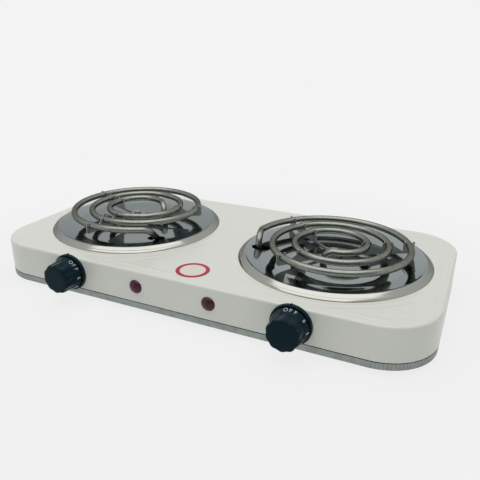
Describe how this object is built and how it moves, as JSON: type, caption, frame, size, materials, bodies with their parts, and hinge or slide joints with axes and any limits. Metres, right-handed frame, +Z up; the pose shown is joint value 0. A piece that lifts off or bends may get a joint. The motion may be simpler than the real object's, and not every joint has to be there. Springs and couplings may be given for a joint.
{
  "type": "hot plate burner",
  "caption": "Tabletop electric hot plate: spiral coil burners over chrome drip pans on a white enamelled housing, with turning control knobs and red pilot lamps.",
  "frame": {"origin": "on the ground, in the middle of the footprint with knobs and cord bush counted in", "axes": "+X to the right seen from the front, +Y to the back, +Z up"},
  "size_m": [0.48, 0.27, 0.071],
  "materials": {
    "white_enamel": "gloss stove enamel",
    "galvanised_steel": "galvanised",
    "chrome": "bright chrome plate",
    "heater_sheath": "oxidised steel",
    "support_steel": "bare stainless",
    "zinc_steel": "zinc plated",
    "black_rubber": "matt rubber",
    "knob_black": "satin moulded",
    "red_lens": "clear deep red",
    "bulb_glass": "clear",
    "ceramic": "unglazed",
    "block_plastic": "moulded",
    "brass": "plain",
    "brown_insulation": "silicone",
    "black_insulation": "silicone",
    "blue_insulation": "silicone",
    "white_insulation": "silicone",
    "green_insulation": "silicone"
  },
  "bodies": {
    "housing": {"base_plate": "galvanised_steel", "base_screws": "zinc_steel", "block_clamp_screws": "zinc_steel", "block_fixing_screws": "zinc_steel", "centre_bolt_left": "zinc_steel", "centre_bolt_right": "zinc_steel", "centre_nuts": "zinc_steel", "centre_spacers": "zinc_steel", "coil_support_left": "support_steel", "coil_support_right": "support_steel", "cord_grommet": "black_rubber", "dial_ring_left": "knob_black", "dial_ring_right": "knob_black", "drip_pan_left": "chrome", "drip_pan_right": "chrome", "earth_lug": "zinc_steel", "earth_nut": "zinc_steel", "earth_screw": "zinc_steel", "earth_wire": "green_insulation", "foot_nuts": "zinc_steel", "foot_screws": "zinc_steel", "heating_coil_left": "heater_sheath", "heating_coil_right": "heater_sheath", "housing_pillars": "zinc_steel", "lamp_bulb_left": "bulb_glass", "lamp_bulb_right": "bulb_glass", "lamp_clips": "zinc_steel", "lamp_lens_left": "red_lens", "lamp_lens_right": "red_lens", "lamp_wires": "white_insulation", "live_wires": "brown_insulation", "neutral_wires": "blue_insulation", "rubber_feet": "black_rubber", "support_posts": "support_steel", "switched_wires": "black_insulation", "terminal_beads_left": "ceramic", "terminal_beads_right": "ceramic", "terminal_block": "block_plastic", "terminal_pins_left": "zinc_steel", "terminal_pins_right": "zinc_steel", "thermostat_body_left": "ceramic", "thermostat_body_right": "ceramic", "thermostat_plate_left": "zinc_steel", "thermostat_plate_right": "zinc_steel", "thermostat_screws": "zinc_steel", "thermostat_tabs_left": "brass", "thermostat_tabs_right": "brass", "top_housing": "white_enamel"},
    "left_control": {"knob_left": "knob_black", "control_shaft_left": "zinc_steel", "knob_spring_left": "zinc_steel"},
    "right_control": {"knob_right": "knob_black", "control_shaft_right": "zinc_steel", "knob_spring_right": "zinc_steel"}
  },
  "joints": [
    {"name": "left_knob_turn", "type": "hinge", "parent": "housing", "child": "left_control", "pos_m": [-0.12475, -0.111, 0.0301], "axis": [0, 1, 0], "range_deg": [-40, 272]},
    {"name": "right_knob_turn", "type": "hinge", "parent": "housing", "child": "right_control", "pos_m": [0.12135, -0.111, 0.0301], "axis": [0, 1, 0], "range_deg": [0, 312]}
  ]
}
